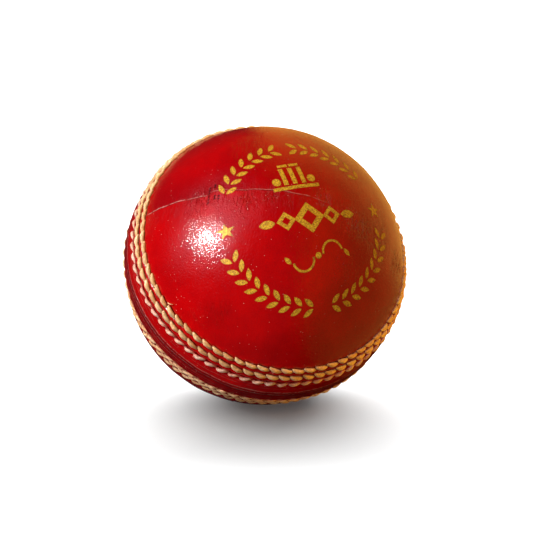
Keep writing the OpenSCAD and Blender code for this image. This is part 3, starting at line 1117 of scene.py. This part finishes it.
def needle_marks(m, off, place):
    """1 in the needle holes that PRICKS lists, 0 elsewhere."""
    marks = 0.0
    for start, step, count, at in PRICKS:
        index = m.math("DIVIDE", m.minus(off, start), step)
        nearest = m.math("MAXIMUM", m.math("MINIMUM", m.math("ROUND", index), count - 1), 0.0)
        across = m.times(m.minus(index, nearest), step)
        along = m.minus(place, at)
        away = m.plus(m.times(across, across), m.times(along, along))
        marks = m.math("MAXIMUM", m.fit(away, 0.04, 0.10, 1, 0), marks)
    return marks


def red_leather():
    """Dyed, lacquered leather: fine pores, cloudy red, painted shade in creases, and pale lips."""
    m = Nodes("red_leather_lacquered")
    leather_colour = m.mix(m.fit(m.noise(11, 4), 0.35, 0.68), rgb(0.44, 0.0, 0.001), rgb(0.58, 0.0, 0.001))
    leather_colour = m.mix(m.fit(m.noise(2.6, 5, 0.6), 0.42, 0.75, 0, 0.35), leather_colour, rgb(0.36, 0.0, 0.003))
    # Darker patch beside the stamped cup's quarter joint, from the shade value
    leather_colour = m.mix(m.times(m.value("shade"), 0.7), leather_colour, rgb(0.26, 0.0, 0.003))
    pores = m.fit(m.cells(0.42, smooth=0.4), 0.05, 0.55)
    leather_colour = m.mix(m.fit(pores, 0, 0.5, 0.22, 0), leather_colour, rgb(0.20, 0.0, 0.002))
    # Grime, and painted shade in stitch furrows, needle holes, joint groove and creases
    creased = m.times(m.value("dirt_and_shade"), m.fit(m.noise(0.8, 4), 0.3, 0.6, 0.7, 1.0))
    leather_colour = m.mix(m.times(creased, 0.8), leather_colour, rgb(0.055, 0.002, 0.004))

    fray = m.fit(m.noise(0.5, 4, 0.6), 0.3, 0.7, -0.10, 0.10)
    off = m.plus(m.value("joint_off"), fray)
    broken = m.times(m.value("joint_show"), m.fit(m.noise(1.3, 4), 0.36, 0.48))
    line = m.fit(m.math("ABSOLUTE", off), 0.09, 0.20, 1, 0)
    line = m.times(line, broken)
    under = m.fit(m.math("ABSOLUTE", m.plus(off, 0.26)), 0.03, 0.15, 1, 0)
    under = m.times(under, m.value("joint_show"))
    leather_colour = m.mix(m.times(under, 0.8), leather_colour, rgb(0.07, 0.0, 0.003))
    pale = m.fit(m.value("joint_place"), -24.0, -21.0, 0.9, 0.42)
    leather_colour = m.mix(m.times(line, pale), leather_colour, rgb(0.92, 0.44, 0.38))
    # Painted shade in the needle holes beside the stamped cup's quarter joint
    pricked = needle_marks(m, m.value("joint_off"), m.value("joint_place"))
    leather_colour = m.mix(m.times(pricked, 0.92), leather_colour, rgb(0.02, 0.001, 0.002))
    # Painted shade along the fold lines of the crumpled patches
    folds = m.add("ShaderNodeCombineXYZ")
    m.link(m.times(m.value("joint_place"), MM), folds.inputs[0])
    m.link(m.times(m.value("joint_off"), 0.28 * MM), folds.inputs[1])
    folds = m.noise(1.0, 2, 0.5, twist=0.8, where=folds.outputs[0])
    folds = m.fit(m.math("ABSOLUTE", m.minus(folds, 0.5)), 0.0, 0.045, 1, 0)
    folds = m.times(folds, m.value("creased"))
    leather_colour = m.mix(m.times(folds, 0.3), leather_colour, rgb(0.10, 0.0, 0.002))
    # Pale lips: worn pale, with painted highlight along them
    pale_wear_and_glint = m.times(m.value("lips"), m.fit(m.noise(0.6, 4), 0.36, 0.52))
    leather_colour = m.mix(m.times(pale_wear_and_glint, 0.75), leather_colour, rgb(0.55, 0.24, 0.19))

    specks = m.fit(m.cells(1.3), 0.06, 0.10, 1, 0)
    specks = m.times(specks, m.fit(m.noise(7, 2), 0.44, 0.58))
    leather_colour = m.mix(m.times(specks, 0.7), leather_colour, rgb(0.75, 0.40, 0.33))
    leather_colour = m.mix(m.value("flesh"), leather_colour, rgb(0.42, 0.20, 0.13))
    m.set("Base Color", leather_colour)

    scuffs = m.fit(m.noise(1.8, 6, 0.65), 0.45, 0.8, 0.34, 0.48)
    m.set("Roughness", m.plus(scuffs, m.times(m.value("dirt_and_shade"), 0.2)))
    m.set("Specular IOR Level", 0.04)
    coat = m.fit(m.value("dirt_and_shade"), 0.2, 0.9, 0.9, 0.3)
    m.set("Coat Weight", m.times(coat, m.minus(1.0, pricked)))
    m.set("Coat Roughness", m.fit(m.noise(3.1, 4), 0.3, 0.75, 0.06, 0.09))
    m.set("Coat IOR", 1.5)

    crack = m.minus(m.noise(0.9, 3, 0.6, (1, 1, 1), 0.6), 0.5)
    crack = m.fit(m.math("ABSOLUTE", crack), 0.0, 0.05, 0, 1)
    crack = m.mix(m.value("creased"), rgb(1, 1, 1), crack)
    grain = m.bump(crack, 0.6, 0.07)
    grain = m.bump(m.fit(folds, 0, 1, 1, 0), 0.9, 0.15, grain)
    grain = m.bump(line, 0.8, 0.05, grain)
    grain = m.bump(pores, 0.5, 0.05, grain)
    aside = m.minus(m.value("joint_place"), POLISHED[0])
    beside = m.minus(m.value("joint_off"), POLISHED[1])
    aside = m.times(aside, aside)
    away = m.plus(aside, m.times(beside, beside))
    polish = m.fit(away, 6.0, 34.0, 0.42, 0.86)
    pebbles = m.times(m.noise(0.42, 1.0, 0.45), polish)
    m.set("Normal", m.bump(pebbles, 0.8, 0.06, grain))
    m.link(m.bump(pebbles, 1.0, 0.078, grain), m.shader.inputs["Coat Normal"])
    return m.material


def seam_thread(name, light, dark, stain_and_shade):
    """Waxed linen: strands along the lay, painted tan shade between plies, red where it meets
    leather.
    """
    m = Nodes(name)
    tone = m.plus(m.value("tone"), m.fit(m.noise(0.9, 3), 0.3, 0.7, -0.35, 0.35))
    colour = m.mix(m.fit(tone, 0.0, 1.0), light, dark)
    strands = m.noise(0.16, 4, 0.7)
    blots = m.noise(0.42, 4, 0.65)
    colour = m.mix(m.fit(blots, 0.40, 0.56, 0.55, 0), colour, rgb(0.58, 0.24, 0.10))
    colour = m.mix(m.fit(strands, 0.35, 0.65, 0.28, 0), colour, dark)
    # Painted tan shade in the grooves between the plies
    colour = m.mix(m.fit(m.value("ply"), 0.0, 0.45, 0.38, 0), colour, rgb(0.50, 0.22, 0.08))
    low = m.plus(m.value("depth"), m.fit(m.noise(0.35, 3), 0.3, 0.7, -0.14, 0.14))
    # Red staining and painted shade where the thread dips low towards the leather
    colour = m.mix(m.fit(low, -0.14, 0.20, 0.95, 0), colour, stain_and_shade)
    m.set("Base Color", colour)
    m.set("Roughness", m.fit(strands, 0.3, 0.7, 0.34, 0.6))
    m.set("Sheen Weight", 0.25)
    m.set("Sheen Roughness", 0.5)
    fibres = m.bump(strands, 0.5, 0.04)
    m.set("Normal", m.bump(m.noise(0.07, 2, 0.5), 0.35, 0.015, fibres))
    return m.material


def gold_foil():
    """Hot-pressed foil: yellow gold with a grainy bite, worn through to the red in specks."""
    m = Nodes("gold_foil_pressed")
    worn = m.fit(m.noise(0.5, 4, 0.7), 0.38, 0.62)
    gold = m.mix(worn, rgb(1.0, 0.66, 0.03), rgb(0.60, 0.30, 0.01))
    bite = m.noise(0.34, 4, 0.75)
    worn = m.fit(bite, 0.53, 0.60)
    worn = m.math("MAXIMUM", worn, m.fit(m.noise(1.1, 5, 0.75), 0.58, 0.64))
    edge = m.times(m.value("rim"), m.fit(m.noise(0.4, 3, 0.6), 0.35, 0.60))
    worn = m.math("MAXIMUM", worn, edge)
    m.set("Base Color", m.mix(m.times(worn, 0.85), gold, rgb(0.20, 0.035, 0.003)))
    m.set("Metallic", m.fit(worn, 0, 1, 0.15, 0.0))
    m.set("Roughness", m.fit(bite, 0.3, 0.7, 0.38, 0.6))
    m.set("Normal", m.bump(bite, 0.5, 0.04))
    return m.material


def rough_leather():
    """Undyed split leather: matted nap with darker pores."""
    m = Nodes("split_leather_lining")
    nap = m.noise(0.35, 6, 0.7)
    tan = m.mix(m.fit(m.noise(4, 5), 0.35, 0.65), rgb(0.44, 0.25, 0.14), rgb(0.60, 0.38, 0.23))
    m.set("Base Color", m.mix(m.fit(nap, 0.3, 0.6, 0.6, 0), tan, rgb(0.22, 0.11, 0.06)))
    m.set("Roughness", m.fit(nap, 0.3, 0.7, 0.78, 0.95))
    m.set("Sheen Weight", 0.3)
    m.set("Normal", m.bump(m.cells(0.5, smooth=0.3), 0.5, 0.08, m.bump(nap, 0.7, 0.08)))
    return m.material


def wool():
    """Grey-white wool yarn with stray darker fibres."""
    m = Nodes("wound_wool_yarn")
    fibres = m.noise(0.14, 4, 0.75)
    tone = m.plus(m.value("tone"), m.fit(m.noise(1.5, 3), 0.3, 0.7, -0.3, 0.3))
    colour = m.mix(m.fit(tone, 0, 1), rgb(0.74, 0.70, 0.60), rgb(0.56, 0.50, 0.40))
    m.set("Base Color", m.mix(m.fit(fibres, 0.3, 0.55, 0.5, 0), colour, rgb(0.28, 0.23, 0.17)))
    m.set("Roughness", m.fit(fibres, 0.3, 0.7, 0.75, 0.95))
    m.set("Sheen Weight", 0.5)
    m.set("Normal", m.bump(fibres, 0.8, 0.06))
    return m.material


def cork(name, light, dark, grain, speck_and_gap_shade):
    """Granules pressed together, each of its own tone, with painted shade in the gaps and bark
    specks.
    """
    m = Nodes(name)
    granule = m.cells(grain, output="Color")
    gap = m.cells(grain, "DISTANCE_TO_EDGE")
    tone = m.fit(m.plus(granule, m.fit(m.noise(0.4, 4), 0.3, 0.7, -0.15, 0.15)), 0.1, 0.9)
    colour = m.mix(tone, light, dark)
    # Painted shade in the gaps between the granules
    colour = m.mix(m.fit(gap, 0.0, 0.09, 0.8, 0), colour, speck_and_gap_shade)
    m.set("Base Color", m.mix(m.fit(m.noise(0.6, 4, 0.7), 0.62, 0.7, 0, 0.8), colour, speck_and_gap_shade))
    m.set("Roughness", m.fit(m.noise(0.5, 4), 0.3, 0.7, 0.7, 0.92))
    pitted = m.bump(m.noise(0.3, 4, 0.7), 0.5, 0.06)
    m.set("Normal", m.bump(m.fit(gap, 0.0, 0.12), 0.7, 0.12, pitted))
    return m.material


# ------------------------------------------------------------------ the pieces

leather_material = red_leather()
# Colours of each thread: its lighter and darker tones, then red staining with painted shade where
# it dips
THREADS = {  # colours: lit, in the creases, and where it meets the leather
    "cream_seam_thread": ((1.0, 0.78, 0.43), (0.90, 0.54, 0.22), (0.34, 0.02, 0.01)),
    "white_seam_thread": ((1.0, 0.80, 0.64), (0.86, 0.50, 0.34), (0.50, 0.0, 0.005)),
    "pale_seam_thread": ((1.0, 0.78, 0.44), (0.90, 0.57, 0.26), (0.42, 0.02, 0.01)),
    "waxed_hidden_thread": ((0.80, 0.66, 0.42), (0.60, 0.44, 0.24), (0.40, 0.26, 0.14)),
}
cream, white, pale, waxed = (
    seam_thread(name, *(rgb(*colour) for colour in colours)) for name, colours in THREADS.items()
)
foil_material = gold_foil()

RIGHT_TURN = -90 if own(area_centre("plain_cup_right_quarter"))[0] > 0 else 90
QUARTERS = (  # node, cup, and turn about the pole in degrees
    ("stamped_cup_upper_quarter", "stamped", 0),
    ("stamped_cup_lower_quarter", "stamped", 180),
    ("plain_cup_right_quarter", "plain", RIGHT_TURN),
    ("plain_cup_left_quarter", "plain", RIGHT_TURN + 180),
)
for node, cup, turned in QUARTERS:
    leather_quarter(node, cup, turned, leather_material)

for row in ROWS:
    if row.place == "inner":
        stitch_row(row, white if row.side == "stamped" else pale)
    else:
        stitch_row(row, cream)

for node in ("foil_wreath", "foil_stars", "foil_emblem"):
    laid_foil(node, foil_material)

short_threads("closing_thread_ties", "white_thread", waxed, 0.12)
lining_material = rough_leather()
for cup in ("stamped", "plain"):
    short_threads(cup + "_cup_blind_stitches", "waxed_thread", waxed, 0.05)
    lining(cup + "_cup_seam_lining", lining_material)

wool_material = wool()
for place, count in (("outer", 150), ("middle", 124), ("inner", 100)):
    winding(place + "_yarn_winding", wool_material, count, count)

cork_material = cork(
    "pressed_cork", rgb(0.60, 0.36, 0.17), rgb(0.40, 0.21, 0.09), 1.6, rgb(0.10, 0.05, 0.025)
)
shell("outer_cork_layer", "cork", cork_material, "cork", 96, cork_height)
shell("inner_cork_layer", "cork", cork_material, "cork", 84, cork_height)
nucleus_material = cork(
    "cork_and_rubber", rgb(0.34, 0.19, 0.10), rgb(0.07, 0.05, 0.045), 1.1, rgb(0.02, 0.018, 0.016)
)
shell("nucleus", "cork_rubber", nucleus_material, "core", 90, nucleus_height)

# ------------------------------------------------------------------ stage

WALL_GLOW = 1.25
WALL_DISTANCE = 0.9  # metres
FLOOR_HALF_SIZE = 1.6  # metres
CAMERA_TURN, CAMERA_LIFT = math.radians(-20), math.radians(14.5)
CAMERA_DISTANCE = 27 * BALL_R * MM
CAMERA_SHIFT = (0.0047, -0.0019)  # moves the ball off the centre of the picture
BALL_SHARE = 0.523  # of the picture's width
BACK = Vector(
    (
        math.sin(CAMERA_TURN) * math.cos(CAMERA_LIFT),
        -math.cos(CAMERA_TURN) * math.cos(CAMERA_LIFT),
        math.sin(CAMERA_LIFT),
    )
)
CAMERA_RIGHT = Vector((math.cos(CAMERA_TURN), math.sin(CAMERA_TURN), 0))
CAMERA_UP = BACK.cross(CAMERA_RIGHT)


def face_ball(obj, direction):
    """Turns a camera or a light that stands in this direction towards the ball."""
    obj.rotation_mode = "QUATERNION"
    obj.rotation_quaternion = (-direction).to_track_quat("-Z", "Y")


def camera():
    data = bpy.data.cameras.new("camera")
    obj = in_scene("camera", data)
    obj.location = BACK * CAMERA_DISTANCE
    face_ball(obj, BACK)
    half_angle = math.asin(BALL_R * MM / CAMERA_DISTANCE)
    data.lens = data.sensor_width * BALL_SHARE / (2 * math.tan(half_angle))
    data.shift_x, data.shift_y = CAMERA_SHIFT
    data.clip_start, data.clip_end = 0.01, 50
    bpy.context.scene.camera = obj


def seen_from_camera(right, up, back):
    """A direction given as the camera sees it, in the scene's axes."""
    return (CAMERA_RIGHT * right + CAMERA_UP * up + BACK * back).normalized()


def card(name, direction, distance, size, power, colour, shines=True, casts_shadow=True):
    """A soft light that faces the ball and isn't itself seen. With shines off it leaves no
    highlight."""
    data = bpy.data.lights.new(name, "AREA")
    data.shape = "RECTANGLE"
    data.size, data.size_y = size
    data.energy = power
    data.color = colour
    data.use_shadow = casts_shadow
    obj = in_scene(name, data)
    obj.location = direction * distance
    face_ball(obj, direction)
    obj.visible_camera = False
    obj.visible_glossy = shines
    return obj


def warm_wall():
    """A warm glowing surface behind the ball on the right, seen only as its reflection."""
    across, up = np.meshgrid(np.linspace(-1, 150, 129), np.linspace(-75, 88, 97))
    swing, lift = np.radians(across), np.radians(up)
    right = np.sin(swing) * np.cos(lift)
    back = -np.cos(swing) * np.cos(lift)
    rise = np.sin(lift)
    glow = ramp(back, 0.35, -0.55) * ramp(rise, -0.14, 0.02) * (1 - 0.15 * ramp(back, -0.5, -1))
    glow = np.maximum(glow, 0.36 * ramp(right, 0.35, 0.6))
    axes = np.array([CAMERA_RIGHT, CAMERA_UP, BACK])
    points = np.stack([right, rise, back], axis=-1).reshape(-1, 3) @ axes * WALL_DISTANCE
    mesh = bpy.data.meshes.new("warm_wall")
    mesh.from_pydata(points.tolist(), [], grid_faces(numbered(*across.shape)).tolist())
    obj = in_scene("warm_wall", mesh)
    add_values(obj, glow=glow.ravel())
    m = Nodes("warm_wall_glow")
    grain = m.fit(m.noise(60, 4, 0.6, (1, 1, 6)), 0.3, 0.7, 0.55, 1.2)
    emission = m.add("ShaderNodeEmission")
    emission.inputs["Color"].default_value = rgb(1.0, 0.45, 0.08)
    strength = m.times(m.times(m.value("glow"), grain), WALL_GLOW)
    m.link(strength, emission.inputs["Strength"])
    m.link(emission.outputs[0], m.tree.nodes["Material Output"].inputs["Surface"])
    mesh.materials.append(m.material)
    obj.visible_camera = False
    obj.visible_shadow = False
    obj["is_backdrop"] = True
    return obj


def floor():
    """A pale floor under the ball that runs out past the picture."""
    made = bmesh.new()
    bmesh.ops.create_grid(made, x_segments=8, y_segments=8, size=FLOOR_HALF_SIZE)
    mesh = bpy.data.meshes.new("floor")
    made.to_mesh(mesh)
    made.free()
    obj = in_scene("floor", mesh)
    obj.location.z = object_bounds()[0].z
    m = Nodes("pale_floor")
    m.set("Base Color", rgb(0.86, 0.86, 0.86))
    m.set("Roughness", 0.9)
    mesh.materials.append(m.material)
    obj.visible_glossy = False
    obj.visible_diffuse = False
    obj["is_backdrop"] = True
    return obj


def only_on(light, objects, name):
    """Keeps a light to these objects."""
    group = bpy.data.collections.new(name)
    for obj in objects:
        group.objects.link(obj)
    light.light_linking.receiver_collection = group


def world():
    """White to the camera, and a dim even sky to everything else."""
    made = bpy.data.worlds.new("studio")
    made.use_nodes = True
    tree = made.node_tree
    sky = tree.nodes["Background"]
    white_sky = tree.nodes.new("ShaderNodeBackground")
    white_sky.inputs["Color"].default_value = rgb(1, 1, 1)
    white_sky.inputs["Strength"].default_value = 1.0
    sky.inputs["Color"].default_value = rgb(0.95, 0.97, 1.0)
    sky.inputs["Strength"].default_value = 0.02
    path = tree.nodes.new("ShaderNodeLightPath")
    mix = tree.nodes.new("ShaderNodeMixShader")
    tree.links.new(path.outputs["Is Camera Ray"], mix.inputs[0])
    tree.links.new(sky.outputs[0], mix.inputs[1])
    tree.links.new(white_sky.outputs[0], mix.inputs[2])
    tree.links.new(mix.outputs[0], tree.nodes["World Output"].inputs[0])
    bpy.context.scene.world = made


bpy.context.scene.view_settings.view_transform = "Standard"
camera()
world()
ground = floor()
ball_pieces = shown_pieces()
threads = [obj for obj in ball_pieces if obj.name.endswith("_stitches_thread")]
smooth_pieces = [obj for obj in ball_pieces if obj not in threads]
LIGHTS = {
    # name: direction as the camera sees it, distance, size, power, colour, what it lights, and
    # whether it leaves a highlight
    "key": ((-0.715, 0.345, 0.608), 0.8, (0.17, 0.08), 4.2, (1, 0.98, 0.95), ball_pieces, True),
    "spark": ((-0.715, 0.345, 0.608), 0.76, (0.13, 0.062), 2.3, (1, 1, 1), smooth_pieces, True),
    "window": ((-0.66, 0.48, 0.57), 1.0, (0.72, 0.80), 1.0, (1, 0.72, 0.90), ball_pieces, True),
    "haze": ((-0.64, 0.50, 0.58), 1.0, (1.1, 1.35), 2.5, (1, 0.76, 0.98), ball_pieces, True),
    "side": ((-0.85, 0.0, 0.52), 1.2, (0.9, 0.9), 6.3, (1, 0.98, 0.96), smooth_pieces, False),
    "front": ((0.1, 0.1, 0.99), 1.5, (2.4, 2.4), 6.0, (1, 0.93, 0.86), smooth_pieces, False),
    "seam": ((-0.72, -0.42, 0.55), 1.2, (0.6, 0.6), 38, (1, 0.95, 0.80), threads, True),
    "under": ((0.1, -0.90, 0.40), 1.2, (0.6, 0.6), 10, (1, 0.86, 0.60), threads, False),
    "crest": ((-0.6, 0.75, 0.3), 1.2, (0.6, 0.6), 10, (1, 0.95, 0.88), threads, False),
    "bounce": ((-0.1, -0.85, 0.45), 1.0, (1.4, 1.4), 2.5, (1, 0.92, 0.84), smooth_pieces, False),
    "rear": ((-0.3, 0.35, -0.9), 1.2, (0.5, 0.5), 5, (1, 0.97, 0.95), ball_pieces, False),
    "warm": ((0.90, 0.15, 0.2), 0.8, (0.5, 0.8), 5.5, (1, 0.50, 0.02), threads, False),
}
for name, (direction, distance, size, power, colour, lit, shines) in LIGHTS.items():
    light = card(name, seen_from_camera(*direction), distance, size, power, colour, shines)
    only_on(light, lit, "lit_by_" + name)
bpy.data.objects["spark"].visible_diffuse = False
only_on(warm_wall(), ball_pieces, "lit_by_wall")
for obj in smooth_pieces:
    obj.visible_diffuse = False
OVERHEAD = Vector((0, 0, 1))
BEHIND = OVERHEAD.cross(CAMERA_RIGHT)
FLOOR_LIGHT_LEAN = 0.21  # to the left, which draws the shadow to the right
FLOOR_LIGHTS = {
    # name: lean back from overhead in degrees, size, power, casts a shadow
    "over": (45, (5, 0.8), 113, True),
    "dome": (0, (8, 8), 130, True),
    "lift": (0, (2, 2), 2, False),
}
for name, (lean, size, power, shaded) in FLOOR_LIGHTS.items():
    lean = math.radians(lean)
    away = OVERHEAD * math.cos(lean) + BEHIND * math.sin(lean) - CAMERA_RIGHT * FLOOR_LIGHT_LEAN
    away.normalize()
    light = card(name, away, 1.5, size, power, (1, 1, 1), True, shaded)
    light.rotation_quaternion = Matrix(
        (CAMERA_RIGHT, away.cross(CAMERA_RIGHT), away)
    ).transposed().to_quaternion().normalized()
    light.data.cycles.use_multiple_importance_sampling = False
    only_on(light, [ground], "floor_from_" + name)
